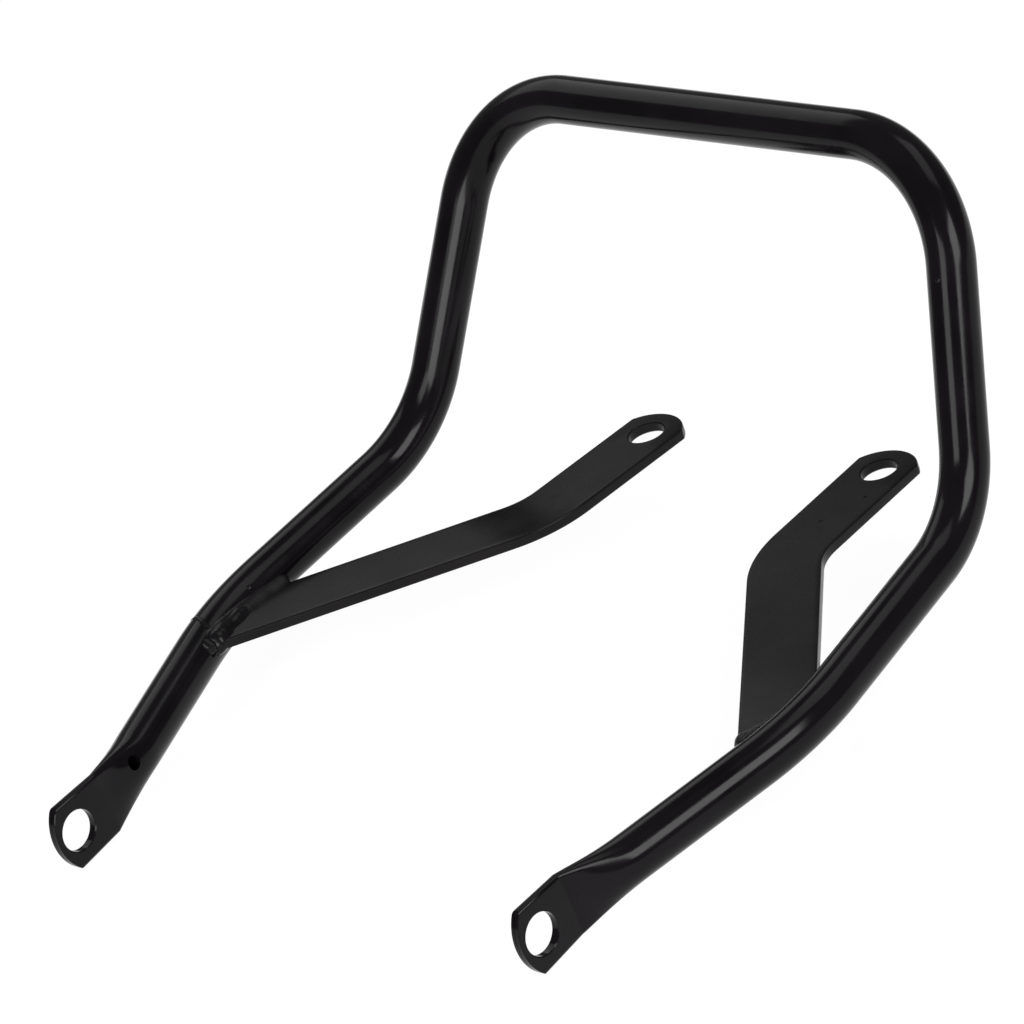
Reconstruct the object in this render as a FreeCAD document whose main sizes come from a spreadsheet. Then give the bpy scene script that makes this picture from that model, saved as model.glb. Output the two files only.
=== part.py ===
"""Motorcycle rear grab handle: a bent tube hoop with pressed tabs and two welded flat straps.

The frame has +Y rearward, +Z up and +X to the rider's left. The origin lies on the fender, midway
between the holes of the two strap pads. All points are those of the left side, and the right side is
its mirror image. Lengths are millimetres, angles degrees.
"""
import FreeCAD, Part
import math
import os

from FreeCAD import Placement, Rotation, Vector

SIZES = (
    # Tube
    ("tube_od", 22.0),
    ("tube_wall", 2.0),
    # Hoop: elbow is the outward bend of a leg, knee the bend up into the hoop, corner the top bend
    ("elbow_half_width", 181.0),
    ("elbow_setback", 179.0),
    ("elbow_radius", 140.0),
    ("leg_run", 136.0),
    ("leg_rise_angle", 7.4),
    ("knee_half_width", 168.5),
    ("knee_radius", 62.0),
    ("corner_half_width", 141.0),
    ("corner_radius", 62.0),
    ("hoop_height", 158.5),
    ("hoop_lean_angle", 61.0),
    # Pressed tabs at the tube's ends: the crease is measured from the elbow, the hole from the crease
    ("toe_in_angle", 16.6),
    ("crease_distance", 128.0),
    ("press_length", 25.0),
    ("press_slit", 0.4),
    ("press_fold_angle", 30.0),
    ("tab_rise_angle", 4.5),
    ("tab_root_width", 32.0),
    ("tab_end_width", 34.5),
    ("tab_hole_distance", 19.3),
    ("tab_hole_diameter", 19.0),
    ("tab_end_margin", 12.8),
    ("tab_end_radius", 25.0),
    # Drain hole in each leg, measured from the elbow and turned up from the inner side
    ("drain_diameter", 6.5),
    ("drain_distance", 107.0),
    ("drain_angle", 32.0),
    # Flat straps: the foot's middle lies on the tube a little ahead of the elbow's middle
    ("strap_width", 34.0),
    ("strap_thickness", 5.0),
    ("strap_edge_radius", 0.8),
    ("strap_foot_lead", 14.3),
    ("strap_bend_radius", 45.0),
    ("pad_turn_angle", 3.5),
    ("pad_reach", 71.0),
    ("pad_hole_spacing", 144.0),
    ("pad_hole_diameter", 17.0),
    ("pad_end_margin", 16.4),
    ("pad_end_radius", 20.0),
    # Weld beads
    ("bead_radius", 4.5),
    ("front_bead_radius", 3.2),
)

X_AXIS = Vector(1, 0, 0)
Y_AXIS = Vector(0, 1, 0)
Z_AXIS = Vector(0, 0, 1)

doc = FreeCAD.newDocument("grab_handle")
sheet = doc.addObject("Spreadsheet::Sheet", "sizes")
for row, (alias, value) in enumerate(SIZES, start=1):
    sheet.set(f"A{row}", alias.replace("_", " "))
    sheet.set(f"B{row}", str(value))
    sheet.setAlias(f"B{row}", alias)
doc.recompute()


def size(alias):
    """Value of a named cell."""
    return float(getattr(sheet, alias))


def turned(alias, forward, sideways):
    """Unit vector that starts along forward and turns toward sideways by a named angle."""
    turn = math.radians(size(alias))
    return forward * math.cos(turn) + sideways * math.sin(turn)


def mirrored_point(point):
    return Vector(-point.x, point.y, point.z)


def bend(before, at, after, radius):
    """Start, middle and end of the arc that rounds the path's turn at a point."""
    arriving = (at - before).normalize()
    leaving = (after - at).normalize()
    half_turn = arriving.getAngle(leaving) / 2
    reach = radius * math.tan(half_turn)
    rise = radius / math.cos(half_turn) - radius
    return at - arriving * reach, at + (leaving - arriving).normalize() * rise, at + leaving * reach


def bent_wire(points, radii):
    """Straight runs between the points, joined by tangent arcs of the given radii."""
    edges = []
    start = points[0]
    for before, at, after, radius in zip(points, points[1:], points[2:], radii):
        arc = bend(before, at, after, radius)
        edges.append(Part.LineSegment(start, arc[0]).toShape())
        edges.append(Part.Arc(*arc).toShape())
        start = arc[2]
    edges.append(Part.LineSegment(start, points[-1]).toShape())
    return Part.Wire(edges)


def formed(name, shape):
    """Path, section or bead whose form follows the named sizes by formula."""
    made = doc.addObject("Part::Feature", name)
    made.Shape = shape
    return made


def swept(name, section, path):
    made = doc.addObject("Part::Sweep", name)
    made.Sections = [section]
    made.Spine = (path, [f"Edge{number}" for number in range(1, len(path.Shape.Edges) + 1)])
    made.Solid = True
    return made


def lofted(name, sections):
    made = doc.addObject("Part::Loft", name)
    made.Sections = sections
    made.Solid = True
    made.Ruled = True
    return made


def joined(name, pieces):
    made = doc.addObject("Part::MultiFuse", name)
    made.Shapes = pieces
    return made


def cut(name, base, tool):
    made = doc.addObject("Part::Cut", name)
    made.Base = base
    made.Tool = tool
    return made


def mirrored(name, source):
    made = doc.addObject("Part::Mirroring", name)
    made.Source = source
    made.Normal = X_AXIS
    return made


def drill(name, diameter_alias, start, along):
    """Cylinder as long as the tube is thick, leaving start in the direction along."""
    made = doc.addObject("Part::Cylinder", name)
    made.setExpression("Radius", f"sizes.{diameter_alias} / 2")
    made.setExpression("Height", "sizes.tube_od")
    made.Placement = Placement(start, Rotation(Z_AXIS, along))
    return made


def end_cutter(name, radius_alias, apex, outward, through):
    """Tool that rounds a flat end to an arc whose farthest point is the apex."""
    radius = size(radius_alias)
    centre = apex - outward * radius
    turn = Rotation(outward, through.cross(outward), through, "ZXY")
    block = doc.addObject("Part::Box", f"{name}_block")
    block.setExpression("Length", f"2 * sizes.{radius_alias}")
    block.setExpression("Width", f"4 * sizes.{radius_alias}")
    block.setExpression("Height", "sizes.tube_od")
    block.Placement = Placement(centre + turn.multVec(Vector(0, -2 * radius, -tube_radius)), turn)
    disc = doc.addObject("Part::Cylinder", f"{name}_disc")
    disc.setExpression("Radius", f"sizes.{radius_alias}")
    disc.setExpression("Height", "sizes.tube_od")
    disc.Placement = Placement(centre - through * tube_radius, turn)
    return cut(name, block, disc)


# Directions and bend points of the tube
tube_radius = size("tube_od") / 2
tube_wall = size("tube_wall")
leg_rear = turned("leg_rise_angle", Y_AXIS, Z_AXIS)
leg_normal = X_AXIS.cross(leg_rear)
leg_front = turned("toe_in_angle", -leg_rear, -X_AXIS)
leg_inward = leg_normal.cross(leg_front) * -1
tab_rear = turned("tab_rise_angle", Y_AXIS, Z_AXIS)
tab_normal = X_AXIS.cross(tab_rear)
hoop_up = turned("hoop_lean_angle", Y_AXIS, Z_AXIS)

elbow = Vector(size("elbow_half_width"), -size("elbow_setback"), size("strap_thickness") / 2)
knee = elbow + leg_rear * size("leg_run")
knee.x = size("knee_half_width")
corner = knee + hoop_up * size("hoop_height")
corner.x = size("corner_half_width")
crease = elbow + leg_front * size("crease_distance")
press_start = crease - leg_front * size("press_length")
tab_hole = crease - tab_rear * size("tab_hole_distance")
tab_end = tab_hole - tab_rear * size("tab_end_margin")

# Round run of the tube between its two pressed ends
side_points = [press_start, elbow, knee, corner]
side_radii = [size("elbow_radius"), size("knee_radius"), size("corner_radius")]
hoop_points = side_points + [mirrored_point(point) for point in reversed(side_points)]
hoop_path = formed("hoop_path", bent_wire(hoop_points, side_radii + side_radii[::-1]))


def round_run(name, radius_formula):
    """Round bar along the whole hoop."""
    ring = doc.addObject("Part::Circle", f"{name}_ring")
    ring.setExpression("Radius", radius_formula)
    ring.Placement = Placement(press_start, Rotation(Z_AXIS, -leg_front))
    return swept(name, ring, hoop_path)


outer_run = round_run("outer_run", "sizes.tube_od / 2")
inner_run = round_run("inner_run", "sizes.tube_od / 2 - sizes.tube_wall")

# Pressed ends: the round tube is squeezed to a flat tab that stands square across the handle
fold_angle = math.radians(size("press_fold_angle"))


def pressed_section(centre, upward, through, side, fold):
    """Closed wire of two sides and two folded edges, each given by (up, out) points."""
    edges = []
    for sign in (1, -1):
        for curve in (side, fold):
            points = [centre + upward * sign * up + through * sign * out for up, out in curve]
            make = Part.LineSegment if len(points) == 2 else Part.Arc
            edges.append(make(*points).toShape())
    return Part.Wire(edges)


def round_section(centre, radius):
    """Full circle, split where the folded edges of the tab begin."""
    up = radius * math.cos(fold_angle)
    out = radius * math.sin(fold_angle)
    side = [(up, out), (0, radius), (-up, out)]
    fold = [(-up, out), (-radius, 0), (-up, -out)]
    return pressed_section(centre, leg_normal, -leg_inward, side, fold)


def flat_section(centre, width, thickness):
    """Flattened tube: two straight sides joined by half-round folds."""
    up = (width - thickness) / 2
    out = thickness / 2
    side = [(up, out), (-up, out)]
    fold = [(-up, out), (-width / 2, 0), (-up, -out)]
    return pressed_section(centre, tab_normal, X_AXIS, side, fold)


slit = size("press_slit")
tab_root = size("tab_root_width")
tab_thickness = 2 * tube_wall + slit
past_tab = tab_end - tab_rear * tube_wall
outer_sections = [
    formed("press_round", round_section(press_start, tube_radius)),
    formed("press_crease", flat_section(crease, tab_root, tab_thickness)),
    formed("press_end", flat_section(past_tab, size("tab_end_width"), tab_thickness)),
]
inner_sections = [
    formed("bore_round", round_section(press_start, tube_radius - tube_wall)),
    formed("bore_slit", flat_section(crease, tab_root - 2 * tube_wall, slit)),
]
tab_blank = lofted("tab_blank", outer_sections)
tab_cutter = end_cutter("tab_end_cutter", "tab_end_radius", tab_end, -tab_rear, X_AXIS)
left_tab = cut("left_tab", tab_blank, tab_cutter)
left_hollow = lofted("left_hollow", inner_sections)
outer_form = joined("outer_form", [outer_run, left_tab, mirrored("right_tab", left_tab)])
hollow_form = joined("hollow_form", [inner_run, left_hollow, mirrored("right_hollow", left_hollow)])

tab_drill = drill("left_tab_drill", "tab_hole_diameter", tab_hole - X_AXIS * tube_radius, X_AXIS)
drain_start = elbow + leg_front * size("drain_distance")
drain_outward = turned("drain_angle", leg_inward, leg_normal)
drain_drill = drill("left_drain_drill", "drain_diameter", drain_start, drain_outward)
right_drills = [mirrored("right_tab_drill", tab_drill), mirrored("right_drain_drill", drain_drill)]
drills = joined("drills", [tab_drill, drain_drill] + right_drills)
hoop_tube = cut("hoop_tube", cut("hoop_shell", outer_form, hollow_form), drills)

# Straps: flat bar bent edgewise, its foot coped to the inner side of the tube at the elbow
strap_middle = size("strap_thickness") / 2
half_strap = size("strap_width") / 2
pad_hole = Vector(size("pad_hole_spacing") / 2, 0, strap_middle)
pad_front = turned("pad_turn_angle", -Y_AXIS, X_AXIS)
pad_end = pad_hole - pad_front * size("pad_end_margin")
strap_bend = pad_hole + pad_front * size("pad_reach")

elbow_start, elbow_middle, elbow_end = bend(press_start, elbow, knee, size("elbow_radius"))
foot_along = Vector(elbow_end.x - elbow_start.x, elbow_end.y - elbow_start.y, 0).normalize()
foot_outward = foot_along.cross(Z_AXIS)
foot_middle = elbow_middle - foot_along * size("strap_foot_lead")
run_front = Vector(foot_middle.x - strap_bend.x, foot_middle.y - strap_bend.y, 0).normalize()
run_side = run_front.cross(Z_AXIS)


def foot_distance(start):
    """Way from a point of the strap along its run to the upright plane through the elbow."""
    return (elbow_middle - start).dot(foot_outward) / run_front.dot(foot_outward)


def bar_section(centre):
    """Flat bar's section with its slightly rounded edges."""
    radius = size("strap_edge_radius")
    inset = radius * (1 - math.sqrt(0.5))
    corners = [(1, 1), (-1, 1), (-1, -1), (1, -1)]
    edges = []
    ends = []
    for wide, high in corners:
        along_width = centre + run_side * wide * (half_strap - radius) + Z_AXIS * high * strap_middle
        along_edge = centre + run_side * wide * half_strap + Z_AXIS * high * (strap_middle - radius)
        crest = centre + run_side * wide * (half_strap - inset) + Z_AXIS * high * (strap_middle - inset)
        pair = (along_edge, along_width) if wide == high else (along_width, along_edge)
        edges.append(Part.Arc(pair[0], crest, pair[1]).toShape())
        ends.append(pair)
    for (_, leave), (arrive, _) in zip(ends, ends[1:] + ends[:1]):
        edges.append(Part.LineSegment(leave, arrive).toShape())
    return Part.Wire(Part.__sortEdges__(edges))


bar_start = strap_bend + run_front * (foot_distance(strap_bend) + 2 * size("strap_width"))
past_pad = pad_end - pad_front * size("strap_thickness")
strap_path = formed("strap_path", bent_wire([bar_start, strap_bend, past_pad], [size("strap_bend_radius")]))
strap_bar = swept("strap_bar", formed("strap_section", bar_section(bar_start)), strap_path)
pad_drill = drill("pad_drill", "pad_hole_diameter", pad_hole - Z_AXIS * tube_radius, Z_AXIS)
pad_cutter = end_cutter("pad_end_cutter", "pad_end_radius", pad_end, -pad_front, Z_AXIS)
foot_block = doc.addObject("Part::Box", "foot_block")
foot_block.setExpression("Length", "8 * sizes.strap_width")
foot_block.setExpression("Width", "8 * sizes.strap_width")
foot_block.setExpression("Height", "sizes.tube_od")
foot_centre = strap_bend + run_front * foot_distance(strap_bend)
foot_turn = Rotation(foot_along * -1, foot_outward, Z_AXIS, "ZXY")
foot_corner = foot_turn.multVec(Vector(-4 * size("strap_width"), 0, -tube_radius))
foot_block.Placement = Placement(foot_centre + foot_corner, foot_turn)
strap_tools = joined("strap_tools", [pad_drill, pad_cutter, foot_block, outer_form])
left_strap = cut("left_strap", strap_bar, strap_tools)
right_strap = mirrored("right_strap", left_strap)
doc.recompute()

# Weld beads: one above and one below the strap's foot, and one round its front edge
bead_radius = size("bead_radius")
bead_reach = half_strap + 4 * bead_radius


def seam_point(sideways, height):
    """Where a line along the strap at the given height first meets the tube."""
    start = Vector(strap_bend.x, strap_bend.y, height) + run_side * sideways
    line = Part.LineSegment(start, start + run_front * foot_distance(start)).toShape()
    clear = line.cut(outer_form.Shape)
    return max((vertex.Point for vertex in clear.Vertexes), key=lambda point: (point - start).Length)


def seam_bead(height, slab_base):
    """Bead along the corner between the tube and one face of the strap; a slab clears the strap."""
    front = seam_point(half_strap, height)
    middle = seam_point(0, height)
    rear = seam_point(bead_radius - half_strap, height)
    seam = Part.Arc(front, middle, rear)
    ring = Part.Circle(front, seam.tangent(seam.FirstParameter)[0], bead_radius)
    bead = Part.Wire([seam.toShape()]).makePipeShell([Part.Wire([ring.toShape()])], True, False)
    for end in (front, rear):
        bead = bead.fuse(Part.makeSphere(bead_radius, end))
    slab_corner = Vector(middle.x - bead_reach, middle.y - bead_reach, slab_base)
    slab = Part.makeBox(2 * bead_reach, 2 * bead_reach, 2 * bead_radius, slab_corner)
    return bead.cut(slab).cut(outer_form.Shape)


def front_bead():
    """Bead down the strap's front edge, as high as the strap is thick."""
    foot = seam_point(half_strap, strap_middle)
    base = Vector(foot.x, foot.y, 0)
    post = Part.makeCylinder(size("front_bead_radius"), size("strap_thickness"), base)
    return post.cut(left_strap.Shape).cut(outer_form.Shape)


beads = {
    "weld_upper": seam_bead(size("strap_thickness"), size("strap_thickness") - 2 * bead_radius),
    "weld_lower": seam_bead(0, 0),
    "weld_front": front_bead(),
}
nodes = [hoop_tube, left_strap, right_strap]
for name, shape in beads.items():
    left_bead = formed(f"left_{name}", shape)
    nodes += [left_bead, mirrored(f"right_{name}", left_bead)]
doc.recompute()

for made in doc.Objects:
    if "Invalid" in made.State or "Error" in made.State:
        raise RuntimeError(f"{made.Label} failed: {made.State}")
os.makedirs("parts", exist_ok=True)
for node in nodes:
    if node.Shape.isNull() or not node.Shape.isValid() or len(node.Shape.Solids) != 1:
        raise RuntimeError(f"{node.Label} is not one valid solid")
for node in nodes:
    node.Shape.exportStep(f"parts/{node.Label}.step")
    print(f"{node.Label}: {node.Shape.Volume / 1000:.2f} cm3")
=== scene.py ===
import math

import bpy
from mathutils import Matrix, Vector, noise


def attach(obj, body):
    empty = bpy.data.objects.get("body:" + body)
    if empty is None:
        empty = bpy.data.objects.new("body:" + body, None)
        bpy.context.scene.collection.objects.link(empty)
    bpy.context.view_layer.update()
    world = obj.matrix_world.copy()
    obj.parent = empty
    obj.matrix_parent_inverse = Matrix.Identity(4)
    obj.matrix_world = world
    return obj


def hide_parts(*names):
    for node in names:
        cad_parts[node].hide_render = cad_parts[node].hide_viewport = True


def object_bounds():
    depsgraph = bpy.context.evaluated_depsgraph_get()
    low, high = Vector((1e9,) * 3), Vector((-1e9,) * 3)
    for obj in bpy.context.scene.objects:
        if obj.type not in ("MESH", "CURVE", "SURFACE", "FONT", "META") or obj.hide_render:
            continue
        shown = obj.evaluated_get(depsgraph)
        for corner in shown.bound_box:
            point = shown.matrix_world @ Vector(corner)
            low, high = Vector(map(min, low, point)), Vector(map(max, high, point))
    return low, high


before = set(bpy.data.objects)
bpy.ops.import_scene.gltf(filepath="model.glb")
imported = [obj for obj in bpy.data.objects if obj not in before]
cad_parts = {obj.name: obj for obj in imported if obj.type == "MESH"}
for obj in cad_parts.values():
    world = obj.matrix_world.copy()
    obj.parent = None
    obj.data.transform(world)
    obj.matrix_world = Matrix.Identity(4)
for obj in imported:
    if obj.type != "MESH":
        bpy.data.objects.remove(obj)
cad_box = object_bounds()

# Bent tube: one length of 22 by 2 mm steel tube, drawn round a bending die into a leaning hoop with two
# splayed legs. Each end is squeezed flat in a press into a tab, punched for a large stud and sheared to a
# shallow arc. A drain hole is drilled beside each tab.
MM = 0.001
SIDEWAYS = Vector((1, 0, 0))
UPWARD = Vector((0, 0, 1))
TUBE_RADIUS = 11.0 * MM
RING_POINTS = 72
ELBOW_PLACE = Vector((181.0, -179.0, 2.5)) * MM
ELBOW_BEND_RADIUS = 140.0 * MM
ELBOW_STEPS = 16
LEG_RISE = math.radians(7.4)
LEG_TOE_IN = math.radians(16.6)
LEG_FRONT_LENGTH = 128.0 * MM
LEG_REAR_LENGTH = 136.0 * MM
KNEE_HALF_WIDTH = 168.5 * MM
KNEE_BEND_RADIUS = 62.0 * MM
KNEE_STEPS = 26
UPRIGHT_RISE = math.radians(61.0)
UPRIGHT_LENGTH = 158.5 * MM
CORNER_HALF_WIDTH = 141.0 * MM
CORNER_BEND_RADIUS = 62.0 * MM
CORNER_STEPS = 40
PRESS_LENGTH = 36.0 * MM
PRESS_SHARES = (0.08, 0.16, 0.25, 0.34, 0.43, 0.52, 0.61, 0.7, 0.79, 0.88, 0.945, 0.975, 1.0)
RING_STEP = 2.0 * MM
FOLD_ANGLE = math.radians(30)
TAB_RISE = math.radians(4.5)
TAB_THICKNESS = 4.4 * MM
TAB_SLIT = 0.3 * MM
TAB_SLIT_DEPTH = 1.2 * MM
TAB_ROOT_WIDTH = 32.0 * MM
TAB_END_WIDTH = 34.5 * MM
TAB_END_RADIUS = 25.0 * MM
TAB_ARC_START = 0.9
TAB_ROOT_RINGS = (0.6 * MM, 2.4 * MM)
SHEARED_EDGE = 0.4 * MM
SHEARED_BEVEL = 1.6 * SHEARED_EDGE
CREASE_TO_HOLE = 19.3 * MM
HOLE_TO_END = 12.8 * MM
TAB_HOLE_RADIUS = 9.5 * MM
TAB_HOLE_RIM = 0.45 * MM
DRAIN_RADIUS = 3.25 * MM
DRAIN_RIM = 0.1 * MM
DRAIN_DEPTH = 12.0 * MM
DRAIN_FROM_ELBOW = 107.0 * MM
DRAIN_FROM_AXIS = 8.0 * MM
DRAIN_TILT = math.radians(32)
PUNCH_POINTS = 64
MERGE_DISTANCE = 0.001 * MM
MIRROR_GAP = 0.01 * MM


def slope(rise):
    """Direction to the rear that rises by an angle."""
    return Vector((0, math.cos(rise), math.sin(rise)))


leg_rear = slope(LEG_RISE)
leg_normal = SIDEWAYS.cross(leg_rear)
leg_front = -leg_rear * math.cos(LEG_TOE_IN) - SIDEWAYS * math.sin(LEG_TOE_IN)
leg_outward = leg_normal.cross(leg_front)
tab_rear = slope(TAB_RISE)
tab_normal = SIDEWAYS.cross(tab_rear)

knee = ELBOW_PLACE + leg_rear * LEG_REAR_LENGTH
knee.x = KNEE_HALF_WIDTH
corner = knee + slope(UPRIGHT_RISE) * UPRIGHT_LENGTH
corner.x = CORNER_HALF_WIDTH
top_middle = Vector((0, corner.y, corner.z))
crease = ELBOW_PLACE + leg_front * LEG_FRONT_LENGTH
press_start = crease - leg_front * PRESS_LENGTH
tab_hole = crease - tab_rear * CREASE_TO_HOLE
tab_length = CREASE_TO_HOLE + HOLE_TO_END


def bend(before, at, after, radius):
    """Start, end, turning centre, axis and angle of the arc that rounds a path's turn."""
    arriving = (at - before).normalized()
    leaving = (after - at).normalized()
    turn = arriving.angle(leaving)
    reach = radius * math.tan(turn / 2)
    centre = at + (leaving - arriving).normalized() * (radius / math.cos(turn / 2))
    return at - arriving * reach, at + leaving * reach, centre, arriving.cross(leaving).normalized(), turn


def start_ring(name, place, along, first, points, radius):
    """Open ring of points square to a direction, in edit mode with all of it selected."""
    bpy.ops.object.select_all(action="DESELECT")
    bpy.ops.mesh.primitive_circle_add(vertices=points, radius=radius)
    piece = bpy.context.object
    piece.name = name
    piece.data.name = name
    axes = Matrix((first.cross(along), first, along)).transposed().to_4x4()
    piece.matrix_world = Matrix.Translation(place) @ axes
    bpy.ops.object.transform_apply(location=True, rotation=True, scale=True)
    bpy.ops.object.mode_set(mode="EDIT")
    bpy.ops.mesh.select_all(action="SELECT")
    return piece


def extrude(way):
    """Draws the selected ring or faces out by a vector."""
    bpy.ops.mesh.extrude_region_move(TRANSFORM_OT_translate={"value": way})


def select_points(piece, test):
    """Selects the vertices that pass a test, leaving edit mode on."""
    bpy.ops.object.mode_set(mode="EDIT")
    bpy.ops.mesh.select_mode(type="VERT")
    bpy.ops.mesh.select_all(action="DESELECT")
    bpy.ops.object.mode_set(mode="OBJECT")
    for vertex in piece.data.vertices:
        vertex.select = test(vertex.co)
    bpy.ops.object.mode_set(mode="EDIT")


def apply_modifier(piece, kind, **settings):
    """Adds a modifier with its settings and applies it."""
    bpy.context.view_layer.objects.active = piece
    modifier = piece.modifiers.new(kind.lower(), kind)
    for name, value in settings.items():
        setattr(modifier, name, value)
    bpy.ops.object.modifier_apply(modifier=modifier.name)


def close_up(piece):
    """Merges doubled points and turns all faces outwards."""
    bpy.context.view_layer.objects.active = piece
    bpy.ops.object.mode_set(mode="EDIT")
    bpy.ops.mesh.select_all(action="SELECT")
    bpy.ops.mesh.remove_doubles(threshold=MERGE_DISTANCE)
    bpy.ops.mesh.normals_make_consistent(inside=False)
    bpy.ops.object.mode_set(mode="OBJECT")


def punch(name, middle, along, radius, depth, rim):
    """Round cutter whose two ends flare, so that the hole it cuts has broken edges."""
    mouth = radius + 2 * rim
    first = along.orthogonal().normalized()
    cutter = start_ring(name, middle - along * (depth / 2 + rim), along, first, PUNCH_POINTS, mouth)
    bpy.ops.mesh.edge_face_add()
    extrude(along * 2 * rim)
    near_end = middle - along * (depth / 2 - rim)
    bpy.ops.transform.resize(value=(radius / mouth,) * 3, center_override=near_end)
    extrude(along * (depth - 2 * rim))
    extrude(along * 2 * rim)
    far_end = middle + along * (depth / 2 + rim)
    bpy.ops.transform.resize(value=(mouth / radius,) * 3, center_override=far_end)
    bpy.ops.object.mode_set(mode="OBJECT")
    close_up(cutter)
    return cutter


def cut_away(piece, cutter):
    """Cuts one solid out of another and clears the cutter away."""
    apply_modifier(piece, "BOOLEAN", operation="DIFFERENCE", solver="EXACT", object=cutter)
    bpy.data.objects.remove(cutter)


def pressed_point(angle, share, along_tab, thickness):
    """Place of a ring's point: round at share 0, squeezed to the flat tab at share 1."""
    width = TAB_ROOT_WIDTH + (TAB_END_WIDTH - TAB_ROOT_WIDTH) * along_tab / tab_length
    half_flat = (width - TAB_THICKNESS) / 2
    half_turn = abs(angle)
    fold = min(half_turn, math.pi - half_turn) / FOLD_ANGLE * math.pi / 2
    if fold < math.pi / 2:
        up = math.copysign(half_flat + TAB_THICKNESS / 2 * math.cos(fold), math.pi / 2 - half_turn)
        out = math.sin(fold)
    else:
        up = half_flat * (1 - 2 * (half_turn - FOLD_ANGLE) / (math.pi - 2 * FOLD_ANGLE))
        out = 1.0
    if thickness <= TAB_SLIT:
        up = max(-half_flat, min(half_flat, up))
    flat = SIDEWAYS * math.copysign(out * thickness / 2, angle)
    if along_tab > TAB_ARC_START * tab_length:
        set_back = TAB_END_RADIUS - math.sqrt(TAB_END_RADIUS ** 2 - up ** 2)
        up *= 1 - (TAB_END_WIDTH - TAB_ROOT_WIDTH) * set_back / tab_length / width
        flat += tab_rear * set_back
    flat += tab_normal * up
    rounded = (leg_normal * math.cos(angle) + leg_outward * math.sin(angle)) * TUBE_RADIUS
    centre = press_start.lerp(crease, share) - tab_rear * along_tab
    return centre + rounded.lerp(flat, share * share * (2 - share))


# One half is drawn from the press along the leg and the upright to the middle of the top bar
tube = start_ring("bent_tube", press_start, -leg_front, leg_normal, RING_POINTS, TUBE_RADIUS)
elbow_bend = bend(press_start, ELBOW_PLACE, knee, ELBOW_BEND_RADIUS)
knee_bend = bend(ELBOW_PLACE, knee, corner, KNEE_BEND_RADIUS)
corner_bend = bend(knee, corner, top_middle, CORNER_BEND_RADIUS)
here = press_start
for path_bend, steps in ((elbow_bend, ELBOW_STEPS), (knee_bend, KNEE_STEPS), (corner_bend, CORNER_STEPS)):
    begin, end, centre, axis, turn = path_bend
    extrude(begin - here)
    bpy.ops.mesh.spin(steps=steps, angle=-turn, center=centre, axis=axis)
    here = end
extrude(top_middle - here)

# Its first ring is drawn forwards, and the new rings are squeezed into the tab and its closed slit
select_points(tube, lambda point: (point - press_start).length < 1.5 * TUBE_RADIUS)
rings = [(share, 0.0, TAB_THICKNESS) for share in PRESS_SHARES]
rings += [(1.0, along_tab, TAB_THICKNESS) for along_tab in TAB_ROOT_RINGS]
rings += [
    (1.0, tab_length - SHEARED_EDGE, TAB_THICKNESS),
    (1.0, tab_length, TAB_THICKNESS - SHEARED_BEVEL),
    (1.0, tab_length, TAB_SLIT),
    (1.0, tab_length - TAB_SLIT_DEPTH, TAB_SLIT),
    (1.0, tab_length - TAB_SLIT_DEPTH, 0.0),
]
for ring in rings:
    extrude(leg_front * RING_STEP)
bpy.ops.object.mode_set(mode="OBJECT")
for vertex in tube.data.vertices:
    offset = vertex.co - press_start
    step = round(offset.dot(leg_front) / RING_STEP)
    if step > 0:
        angle = math.atan2(offset.dot(leg_outward), offset.dot(leg_normal))
        vertex.co = pressed_point(angle, *rings[step - 1])
apply_modifier(tube, "MIRROR", use_axis=(True, False, False), use_clip=True, merge_threshold=MIRROR_GAP)
close_up(tube)
solid_tube = tube.copy()
solid_tube.data = tube.data.copy()
bpy.context.scene.collection.objects.link(solid_tube)

drain_out = -leg_outward * math.cos(DRAIN_TILT) + leg_normal * math.sin(DRAIN_TILT)
drain_middle = ELBOW_PLACE + leg_front * DRAIN_FROM_ELBOW + drain_out * DRAIN_FROM_AXIS
for side in (1, -1):
    flip = Vector((side, 1, 1))
    tab_punch = punch("tab_punch", tab_hole * flip, SIDEWAYS, TAB_HOLE_RADIUS, TAB_THICKNESS, TAB_HOLE_RIM)
    cut_away(tube, tab_punch)
    drill = punch("drain_drill", drain_middle * flip, drain_out * flip, DRAIN_RADIUS, DRAIN_DEPTH, DRAIN_RIM)
    cut_away(tube, drill)

# Spatter from welding: two low blobs that the paint has covered, each with its place, facing and radius
SPATTER_FLATNESS = 0.45
SPATTER = (
    (Vector((152.44, -4.27, 114.37)) * MM, Vector((0.173, -0.847, 0.504)), 1.3 * MM),
    (Vector((-170.66, -166.21, 11.26)) * MM, Vector((0.793, -0.085, 0.603)), 1.5 * MM),
)
for place, outward, radius in SPATTER:
    bpy.ops.object.select_all(action="DESELECT")
    bpy.ops.mesh.primitive_uv_sphere_add(segments=24, ring_count=12, radius=radius)
    blob = bpy.context.object
    facing = outward.to_track_quat("Z", "Y").to_matrix().to_4x4()
    blob.matrix_world = Matrix.Translation(place) @ facing @ Matrix.Diagonal((1, 1, SPATTER_FLATNESS, 1))
    bpy.ops.object.transform_apply(location=True, rotation=True, scale=True)
    tube.select_set(True)
    bpy.context.view_layer.objects.active = tube
    bpy.ops.object.join()

# A stoved enamel's own index is near 1.5. It is lowered here, which keeps the black deep in a bright room.
ENAMEL_INDEX = 1.24
DRIFT_SIZE = 34.0 * MM
HAZE_SIZE = 16.0 * MM
BLOTCH_LOW = 0.35
BLOTCH_HIGH = 0.65
SMOOTH_ANGLE = math.radians(28)


def linear(code):
    """Linear colour of an sRGB hex value."""
    parts = [int(code[start:start + 2], 16) / 255 for start in (1, 3, 5)]
    lit = [part / 12.92 if part <= 0.04045 else ((part + 0.055) / 1.055) ** 2.4 for part in parts]
    return (*lit, 1.0)


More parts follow.
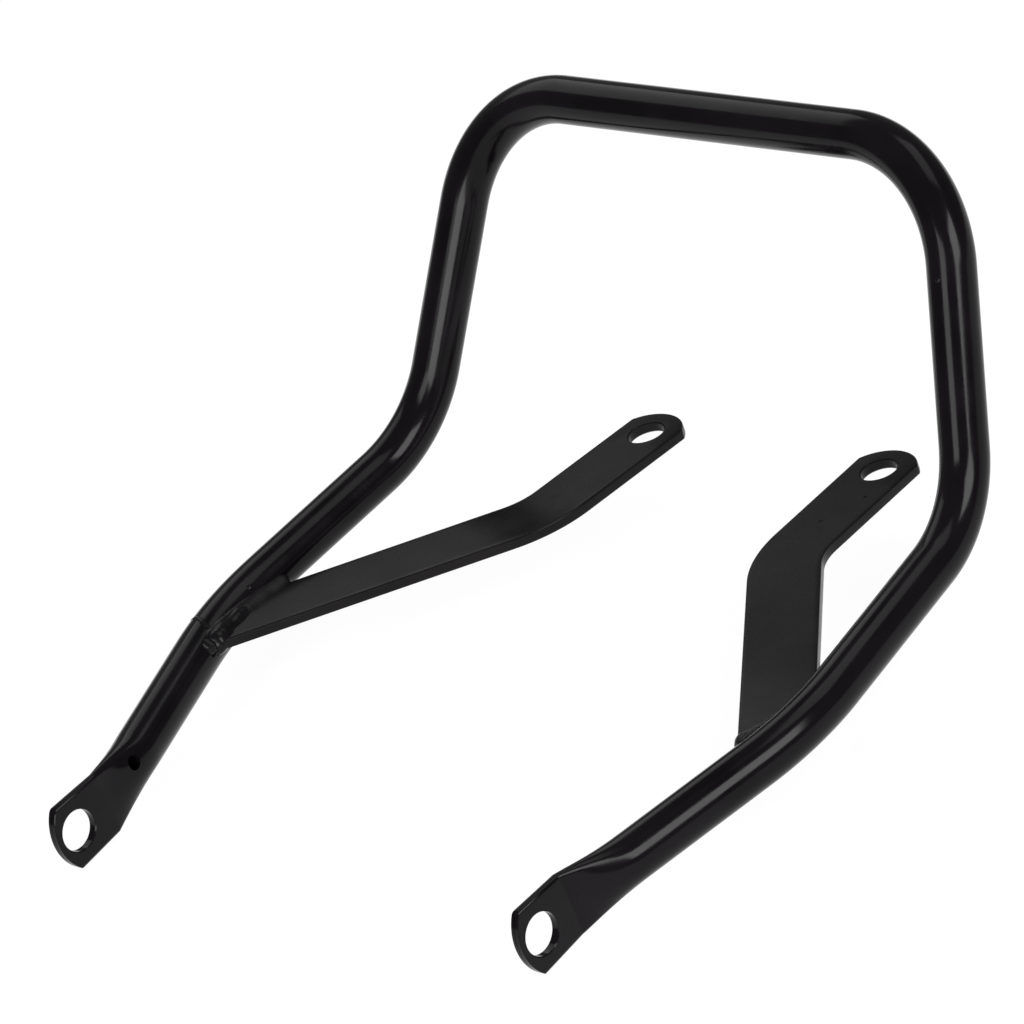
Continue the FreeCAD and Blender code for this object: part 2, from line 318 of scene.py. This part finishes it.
def add_node(tree, kind, settings=None, inputs=None, links=None):
    """Adds a shader node, sets its properties and input values, and links named inputs to outputs."""
    node = tree.nodes.new(kind)
    for name, value in (settings or {}).items():
        setattr(node, name, value)
    for name, value in (inputs or {}).items():
        node.inputs[name].default_value = value
    for name, output in (links or {}).items():
        tree.links.new(output, node.inputs[name])
    return node


def new_coat(name, dark, light, smooth, rough, peel, peel_height, wave, wave_height):
    """Black stoved enamel: colour and gloss drift slowly, and the surface has orange peel and waves."""
    material = bpy.data.materials.new(name)
    material.use_nodes = True
    tree = material.node_tree
    shader = tree.nodes["Principled BSDF"]
    shader.inputs["IOR"].default_value = ENAMEL_INDEX
    place = add_node(tree, "ShaderNodeTexCoord").outputs["Object"]
    blotches = []
    for size, detail in ((DRIFT_SIZE, 2.0), (HAZE_SIZE, 4.0), (wave, 2.0), (peel, 2.0)):
        inputs = {"Scale": 1 / size, "Detail": detail}
        blotch = add_node(tree, "ShaderNodeTexNoise", inputs=inputs, links={"Vector": place})
        blotches.append(blotch.outputs["Fac"])
    drift, haze, swell, pimple = blotches
    shares = []
    for blotch, low, high in ((drift, 0.0, 1.0), (haze, smooth, rough)):
        inputs = {"From Min": BLOTCH_LOW, "From Max": BLOTCH_HIGH, "To Min": low, "To Max": high}
        share = add_node(tree, "ShaderNodeMapRange", inputs=inputs, links={"Value": blotch})
        shares.append(share.outputs["Result"])
    tint_share, roughness = shares
    colours = {6: linear(dark), 7: linear(light)}
    tint = add_node(tree, "ShaderNodeMix", {"data_type": "RGBA"}, colours, {0: tint_share})
    inputs = {"Strength": 1.0, "Distance": wave_height}
    waves = add_node(tree, "ShaderNodeBump", inputs=inputs, links={"Height": swell})
    inputs = {"Strength": 1.0, "Distance": peel_height}
    links = {"Height": pimple, "Normal": waves.outputs["Normal"]}
    skin = add_node(tree, "ShaderNodeBump", inputs=inputs, links=links)
    tree.links.new(tint.outputs[2], shader.inputs["Base Color"])
    tree.links.new(roughness, shader.inputs["Roughness"])
    tree.links.new(skin.outputs["Normal"], shader.inputs["Normal"])
    return material


def dress(piece, material, node):
    """Smooths a finished piece, coats it and gives it its place in the frame."""
    bpy.ops.object.select_all(action="DESELECT")
    piece.select_set(True)
    bpy.context.view_layer.objects.active = piece
    bpy.ops.object.shade_smooth_by_angle(angle=SMOOTH_ANGLE)
    piece.data.materials.clear()
    piece.data.materials.append(material)
    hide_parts(node)
    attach(piece, "root")


# Enamel sprayed over drawn tube: near black, wet-looking gloss with fine orange peel, so lamps show as
# long streaks that waver slightly.
tube_coat = new_coat(
    "tube_enamel", "#080608", "#0f0c0f", smooth=0.12, rough=0.19,
    peel=1.6 * MM, peel_height=0.006 * MM, wave=14 * MM, wave_height=0.03 * MM,
)
dress(tube, tube_coat, "hoop_tube")

# Straps: 34 by 5 mm hot-rolled flat bar, bent edgewise in its own plane. The foot is coped to the tube at the
# elbow and welded there. The free end is a pad, sheared to an arc and punched for a fender bolt.
STRAP_WIDTH = 34.0 * MM
STRAP_THICKNESS = 5.0 * MM
STRAP_EDGE = 0.8 * MM
STRAP_EDGE_STEPS = 5
STRAP_HALF_FACE_STEPS = 9
STRAP_BEND_RADIUS = 45.0 * MM
STRAP_BEND_STEPS = 14
FOOT_AHEAD = 14.3 * MM
PAD_HALF_SPACING = 72.0 * MM
PAD_SKEW = math.radians(3.5)
PAD_TO_BEND = 71.0 * MM
PAD_TO_END = 16.4 * MM
PAD_STRAIGHT_SHARE = 0.6
PAD_END_RADIUS = 20.0 * MM
PAD_RIM_STEPS = 3
PAD_HOLE_RADIUS = 8.5 * MM
PAD_HOLE_RIM = 0.6 * MM

half_thickness = STRAP_THICKNESS / 2
pad_hole = Vector((PAD_HALF_SPACING, 0, half_thickness))
pad_front = Vector((math.sin(PAD_SKEW), -math.cos(PAD_SKEW), 0))
pad_side = pad_front.cross(UPWARD)
pad_end = pad_hole - pad_front * PAD_TO_END
strap_turn = pad_hole + pad_front * PAD_TO_BEND
elbow_begin, elbow_end, elbow_centre, elbow_axis, elbow_turn = elbow_bend
elbow_middle = elbow_centre + (ELBOW_PLACE - elbow_centre).normalized() * ELBOW_BEND_RADIUS
foot_along = (elbow_end - elbow_begin) * Vector((1, 1, 0))
foot_along.normalize()
foot_outward = foot_along.cross(UPWARD)
run_front = (elbow_middle - foot_along * FOOT_AHEAD - strap_turn) * Vector((1, 1, 0))
run_front.normalize()
run_side = run_front.cross(UPWARD)


def bar_outline():
    """Points round a flat bar's section, as (across, up), with rounded edges."""
    half = STRAP_WIDTH / 2 - STRAP_EDGE
    high = half_thickness - STRAP_EDGE
    outline = []
    for quarter, (across, up) in enumerate(((half, high), (-half, high), (-half, -high), (half, -high))):
        for step in range(STRAP_EDGE_STEPS + 1):
            turn = math.pi / 2 * (quarter + step / STRAP_EDGE_STEPS)
            outline.append((across + STRAP_EDGE * math.cos(turn), up + STRAP_EDGE * math.sin(turn)))
        if quarter in (0, 2):
            level = outline[-1][1]
            for step in range(1, 2 * STRAP_HALF_FACE_STEPS):
                outline.append((across * (1 - step / STRAP_HALF_FACE_STEPS), level))
    return outline


def foot_distance(point):
    """Way along the strap's run to the upright plane through the elbow."""
    return (elbow_middle - point).dot(foot_outward) / run_front.dot(foot_outward)


# The bar is drawn from its foot, which lies inside the tube, round its bend and along the pad
section = bar_outline()
left_bar = start_ring("left_strap_bar", strap_turn, -run_front, run_side, len(section), STRAP_WIDTH)
bpy.ops.object.mode_set(mode="OBJECT")
for vertex, (across, up) in zip(left_bar.data.vertices, section):
    place = strap_turn + run_side * across + UPWARD * up
    vertex.co = place + run_front * foot_distance(place)
foot_ring = sum((vertex.co for vertex in left_bar.data.vertices), Vector()) / len(section)
bpy.ops.object.mode_set(mode="EDIT")
bpy.ops.mesh.select_all(action="SELECT")
bpy.ops.mesh.edge_face_add()
begin, end, centre, axis, turn = bend(foot_ring, strap_turn, pad_end, STRAP_BEND_RADIUS)
extrude(begin - foot_ring)
bpy.ops.object.mode_set(mode="OBJECT")
for vertex in left_bar.data.vertices:
    if vertex.select:
        vertex.co -= run_front * (vertex.co - begin).dot(run_front)
bpy.ops.object.mode_set(mode="EDIT")
bpy.ops.mesh.spin(steps=STRAP_BEND_STEPS, angle=-turn, center=centre, axis=axis)
extrude((pad_end - end) * PAD_STRAIGHT_SHARE)

# The pad's end follows its arc, and its rim is rounded like the bar's edges before it closes
rim = []
for step in range(PAD_RIM_STEPS + 1):
    turn = math.pi / 2 * step / PAD_RIM_STEPS
    rim.append((STRAP_EDGE * math.sin(turn), half_thickness - STRAP_EDGE * (1 - math.cos(turn))))
rim.append((STRAP_EDGE, 0.0))
last_high = half_thickness
for forward, high in rim:
    extrude(-pad_front * MM)
    bpy.ops.object.mode_set(mode="OBJECT")
    for vertex in left_bar.data.vertices:
        if vertex.select:
            across = (vertex.co - pad_end).dot(pad_side)
            up = (vertex.co.z - half_thickness) * high / last_high
            drawn = math.sqrt(max(PAD_END_RADIUS ** 2 - across ** 2, 0)) - PAD_END_RADIUS
            vertex.co = pad_end - pad_front * (drawn + forward - STRAP_EDGE) + pad_side * across
            vertex.co.z = half_thickness + up
    bpy.ops.object.mode_set(mode="EDIT")
    last_high = high
bpy.ops.object.mode_set(mode="OBJECT")
close_up(left_bar)
cut_away(left_bar, punch("pad_punch", pad_hole, UPWARD, PAD_HOLE_RADIUS, STRAP_THICKNESS, PAD_HOLE_RIM))
cut_away(left_bar, solid_tube)

bpy.ops.object.select_all(action="DESELECT")
left_bar.select_set(True)
bpy.context.view_layer.objects.active = left_bar
bpy.ops.object.duplicate()
right_bar = bpy.context.object
right_bar.name = "right_strap_bar"
right_bar.data.name = "right_strap_bar"
right_bar.scale.x = -1
bpy.ops.object.transform_apply(location=False, rotation=False, scale=True)
close_up(right_bar)

# Rolling pits: two small round dents in the left bar's upper face
PIT_RADIUS = 1.3 * MM
PITS = (Vector((81.82, -21.06, 5.85)) * MM, Vector((74.11, -42.91, 5.85)) * MM)
for place in PITS:
    bpy.ops.object.select_all(action="DESELECT")
    bpy.ops.mesh.primitive_uv_sphere_add(segments=32, ring_count=24, radius=PIT_RADIUS, location=place)
    bpy.ops.object.transform_apply(location=True, rotation=True, scale=True)
    cut_away(left_bar, bpy.context.object)

# Enamel over mill scale: the rolled bar's skin is coarser, so the same paint dries to a softer, satin gloss.
strap_coat = new_coat(
    "strap_enamel", "#0d0b0d", "#141214", smooth=0.24, rough=0.32,
    peel=1.2 * MM, peel_height=0.012 * MM, wave=26 * MM, wave_height=0.025 * MM,
)
dress(left_bar, strap_coat, "left_strap")
dress(right_bar, strap_coat, "right_strap")

# Weld beads: steel laid by hand with a wire feed, one bead above and one below each strap's foot and a short
# one round its front edge. The long ones freeze as nearly flat webs and the short ones in coarser ripples,
# and all are painted over with the rest. On the right a low ridge runs on from the short one over the tube.
BEAD_RADIUS = 6.4 * MM
BEAD_SINK = 2.0 * MM
BEAD_DEPTH = 1.2 * MM
BEAD_OVERRUN = 5.0 * MM
BEAD_SIDES = 8
BEAD_BLUNT_END = 0.04
SEAM_STEPS = 240
SEAM_MARGIN = 0.6
SEAM_HALVINGS = 40
WEB_HEIGHT = 2.2 * MM
WEB_LEAN_IN = 0.56
WEB_LEAN_UP = 0.83
WEB_LOWERED = 0.6
FRONT_BEAD_RADIUS = 3.2 * MM
LEFT_FRONT_SHARE = 0.72
POST_STEPS = 30
TAIL_RADIUS = 1.5 * MM
TAIL_DEPTH = 1.0 * MM
TAIL_STEPS = 90
TAIL_LEAN = 0.12
TAIL_FROM = math.radians(140)
TAIL_SWEEP = math.radians(126)
RIPPLE_PITCH = 2.7 * MM
RIPPLE_SHARPNESS = 1.5
RIPPLE_HEIGHT = 0.06 * MM
FRONT_RIPPLE_HEIGHT = 0.16 * MM
# Each unevenness of the hand: how many of its waves go to a metre, and how far it reaches
RIPPLE_DRIFT = (200, 0.5)
WANDER = (110, 0.4 * MM)
SWELL = (140, 0.1)
LUMPS = (150, 0.4 * MM)
GRIT = (420, 0.07 * MM)
# With its seed set, the noise lays the same beads each time
WELD_SEED = 3
noise.seed_set(WELD_SEED)


def seam_point(turn, height, depth=0.0):
    """Where a level meets the tube's inner side, or a depth under it, by the angle round the elbow."""
    spoke = Matrix.Rotation(turn, 3, elbow_axis) @ (elbow_begin - elbow_centre)
    middle = elbow_centre + spoke
    lift = height - middle.z
    inward = -spoke.normalized()
    return middle + inward * (math.sqrt(TUBE_RADIUS ** 2 - lift ** 2) - depth) + UPWARD * lift


def seam_turn(across):
    """Angle round the elbow at which the strap's line at some distance from its middle lands on the tube."""
    start = strap_turn + run_side * across
    low = -SEAM_MARGIN
    high = elbow_turn + SEAM_MARGIN
    for _ in range(SEAM_HALVINGS):
        middle = (low + high) / 2
        if (seam_point(middle, STRAP_THICKNESS) - start).dot(run_side) > 0:
            low = middle
        else:
            high = middle
    return low


def over_tube(turn, angle):
    """Point just under the tube's skin, by the angles round the elbow bend and up from the inner side."""
    spoke = Matrix.Rotation(turn, 3, elbow_axis) @ (elbow_begin - elbow_centre)
    inward = -spoke.normalized()
    upright = inward.cross(elbow_axis.cross(spoke).normalized())
    upright *= math.copysign(1, upright.z)
    outward = inward * math.cos(angle) + upright * math.sin(angle)
    return elbow_centre + spoke + outward * (TUBE_RADIUS - TAIL_DEPTH)


def lay_bead(name, points, radii, side, seed, ripple_height):
    """Rippled bead along a line of points, mirrored to the right where side is -1."""
    line = bpy.data.curves.new(name, "CURVE")
    line.dimensions = "3D"
    line.bevel_depth = 1.0
    line.bevel_resolution = BEAD_SIDES
    line.use_fill_caps = True
    spline = line.splines.new("POLY")
    spline.points.add(len(points) - 1)
    length = sum((after - before).length for before, after in zip(points, points[1:]))
    gone = 0.0
    for number, (point, radius) in enumerate(zip(points, radii)):
        gone += (point - points[number - 1]).length if number else 0.0
        from_end = min(min(gone, length - gone) / radius, 1.0)
        taper = math.sqrt(max(1 - (1 - from_end) ** 2, BEAD_BLUNT_END))
        drift = RIPPLE_DRIFT[1] * noise.noise(Vector((gone * RIPPLE_DRIFT[0], seed, 0)))
        ripple = ((gone / RIPPLE_PITCH + drift) % 1.0) ** RIPPLE_SHARPNESS
        wander = noise.noise_vector(Vector((gone * WANDER[0], seed, 5))) * WANDER[1]
        swell = 1 + SWELL[1] * noise.noise(Vector((gone * SWELL[0], seed, 9)))
        place = (point + wander) * Vector((side, 1, 1))
        spline.points[number].co = (*place, 1)
        spline.points[number].radius = (radius * swell - ripple_height * ripple) * taper
    bead = bpy.data.objects.new(name, line)
    bpy.context.scene.collection.objects.link(bead)
    bpy.ops.object.select_all(action="DESELECT")
    bead.select_set(True)
    bpy.context.view_layer.objects.active = bead
    bpy.ops.object.convert(target="MESH")
    for vertex in bead.data.vertices:
        lump = noise.noise_vector(vertex.co * LUMPS[0]) * LUMPS[1]
        grit = noise.noise_vector(vertex.co * GRIT[0]) * GRIT[1]
        vertex.co += lump + grit
    close_up(bead)
    return bead


def flatten(bead, side, height, sense):
    """Lowers a bead's crown to a nearly flat web between the tube and the strap's upper or lower face."""
    first = elbow_begin - elbow_centre
    for vertex in bead.data.vertices:
        place = vertex.co * Vector((side, 1, 1))
        spoke = place - elbow_centre
        turn = math.atan2(elbow_axis.dot(first.cross(spoke)), first.dot(spoke))
        inward = (Matrix.Rotation(turn, 3, elbow_axis) @ -first).normalized()
        facing = (inward * WEB_LEAN_IN + UPWARD * WEB_LEAN_UP * sense).normalized()
        proud = (place - seam_point(turn, height)).dot(facing) - WEB_HEIGHT
        if proud > 0:
            place -= facing * proud * WEB_LOWERED
            vertex.co = place * Vector((side, 1, 1))


# Enamel over a weld: it sinks into the hollows and dries to an uneven gloss, so it glints in small spots.
# Its colours are set a little lighter than the tube's, a painted sheen that stands in for light on the web.
weld_coat_with_painted_sheen = new_coat(
    "weld_enamel_painted_sheen", "#0d0b0d", "#161416", smooth=0.2, rough=0.34,
    peel=1.4 * MM, peel_height=0.015 * MM, wave=5 * MM, wave_height=0.08 * MM,
)
front_turn = seam_turn(STRAP_WIDTH / 2)
rear_turn = seam_turn(-STRAP_WIDTH / 2 - BEAD_OVERRUN)
seam_turns = [front_turn + (rear_turn - front_turn) * step / SEAM_STEPS for step in range(SEAM_STEPS + 1)]
for side, hand in ((1, "left"), (-1, "right")):
    for face, height, sense in (("upper", STRAP_THICKNESS, 1), ("lower", 0.0, -1)):
        seam = [seam_point(turn, height, BEAD_DEPTH) - UPWARD * BEAD_SINK * sense for turn in seam_turns]
        radii = [BEAD_RADIUS] * len(seam)
        seed = side * 3 + height / MM
        bead = lay_bead(f"{hand}_{face}_bead", seam, radii, side, seed, RIPPLE_HEIGHT)
        flatten(bead, side, height, sense)
        dress(bead, weld_coat_with_painted_sheen, f"{hand}_weld_{face}")
    top = seam_point(front_turn, STRAP_THICKNESS)
    bottom = seam_point(front_turn, 0.0)
    line = [top.lerp(bottom, step / POST_STEPS) for step in range(POST_STEPS + 1)]
    radii = [FRONT_BEAD_RADIUS * (LEFT_FRONT_SHARE if hand == "left" else 1.0)] * len(line)
    if hand == "right":
        tail = []
        tail_radii = []
        for step in range(TAIL_STEPS + 1):
            share = step / TAIL_STEPS
            turn = front_turn + TAIL_LEAN * math.sqrt(1 - share)
            tail.append(over_tube(turn, TAIL_FROM - TAIL_SWEEP * share))
            growth = (step / (TAIL_STEPS + 1)) ** 3
            tail_radii.append(TAIL_RADIUS + (FRONT_BEAD_RADIUS - TAIL_RADIUS) * growth)
        line = tail + line
        radii = tail_radii + radii
    bead = lay_bead(f"{hand}_front_bead", line, radii, side, side * 7, FRONT_RIPPLE_HEIGHT)
    dress(bead, weld_coat_with_painted_sheen, f"{hand}_weld_front")

# Floor: a wide sheet of white paper under the part. Its own pale colour and a glow that only the camera and
# reflections see add up to white, and the part's soft shadow stays on it.
FLOOR_SIZE = 8.0
FLOOR_GAP = 1.0 * MM
GLOW_STRENGTH = 1.08
GLOW_SHARE = 0.85

bpy.ops.object.select_all(action="DESELECT")
bpy.ops.mesh.primitive_plane_add(size=FLOOR_SIZE, location=(0, 0, cad_box[0].z - FLOOR_GAP))
floor = bpy.context.object
floor.name = "floor"
paper = bpy.data.materials.new("white_paper")
paper.use_nodes = True
tree = paper.node_tree
tree.nodes.clear()
sheet = add_node(tree, "ShaderNodeBsdfDiffuse", inputs={"Color": linear("#f2f2f2")})
glow = add_node(tree, "ShaderNodeEmission", inputs={"Strength": GLOW_STRENGTH})
path = add_node(tree, "ShaderNodeLightPath")
seen = path.outputs["Is Camera Ray"]
for ray in ("Is Glossy Ray", "Is Transmission Ray"):
    either = add_node(tree, "ShaderNodeMath", {"operation": "MAXIMUM"}, links={0: seen, 1: path.outputs[ray]})
    seen = either.outputs[0]
share = add_node(tree, "ShaderNodeMath", {"operation": "MULTIPLY"}, {1: GLOW_SHARE}, {0: seen})
links = {0: share.outputs[0], 1: sheet.outputs[0], 2: glow.outputs[0]}
surface = add_node(tree, "ShaderNodeMixShader", links=links)
add_node(tree, "ShaderNodeOutputMaterial", links={"Surface": surface.outputs[0]})
floor.data.materials.append(paper)

# Studio: a dim room and five softboxes. The bank on the left lights the top bar and the straps, and the
# others draw the long streaks on the legs and uprights.
ROOM_STRENGTH = 0.2
LAMP_AIM = Vector((0, -0.12, 0.06))

room = bpy.data.worlds.new("studio")
bpy.context.scene.world = room
room.use_nodes = True
background = room.node_tree.nodes["Background"]
background.inputs["Color"].default_value = linear("#ffffff")
background.inputs["Strength"].default_value = ROOM_STRENGTH


def softbox(name, way, distance, width, height, brightness):
    """Rectangular lamp facing the part from a direction, with a given brightness of its face."""
    bpy.ops.object.light_add(type="AREA", location=way.normalized() * distance + LAMP_AIM)
    lamp = bpy.context.object
    lamp.name = name
    lamp.data.shape = "RECTANGLE"
    lamp.data.size = width
    lamp.data.size_y = height
    lamp.data.energy = brightness * math.pi * width * height
    lamp.rotation_mode = "QUATERNION"
    lamp.rotation_quaternion = way.to_track_quat("Z", "Y")


softbox("overhead", Vector((0.22, 0.38, 0.88)), 2.0, 1.2, 0.9, 1.6)
softbox("left_bank", Vector((-0.70, 0.20, 0.62)), 2.2, 1.8, 1.0, 1.3)
softbox("right_side", Vector((0.858, -0.04, 0.51)), 2.2, 1.05, 1.05, 8.0)
softbox("front", Vector((0.14, -0.855, 0.50)), 2.4, 1.05, 1.05, 5.2)
softbox("low_front", Vector((0.42, -0.895, 0.17)), 2.4, 1.4, 0.8, 8.2)

# Camera: a long lens at the photograph's viewing angle. Its focal length is given in pixels of the frame.
CAMERA_PLACE = Vector((2.46541, -2.08592, 1.61911))
CAMERA_RIGHT = Vector((0.70008, 0.64716, -0.30178))
CAMERA_UP = Vector((-0.12039, 0.52354, 0.84345))
CAMERA_BACK = Vector((0.70384, -0.55415, 0.44443))
FRAME_PIXELS = 1024
FOCAL_PIXELS = 8076.1
SENSOR_WIDTH = 36.0
CLIP_END = 50.0

camera_data = bpy.data.cameras.new("camera")
camera = bpy.data.objects.new("camera", camera_data)
bpy.context.scene.collection.objects.link(camera)
camera_axes = Matrix((CAMERA_RIGHT, CAMERA_UP, CAMERA_BACK)).transposed().to_4x4()
camera.matrix_world = Matrix.Translation(CAMERA_PLACE) @ camera_axes
camera_data.sensor_width = SENSOR_WIDTH
camera_data.lens = FOCAL_PIXELS / FRAME_PIXELS * SENSOR_WIDTH
camera_data.clip_end = CLIP_END
bpy.context.scene.camera = camera

bpy.context.scene.view_settings.view_transform = "Standard"
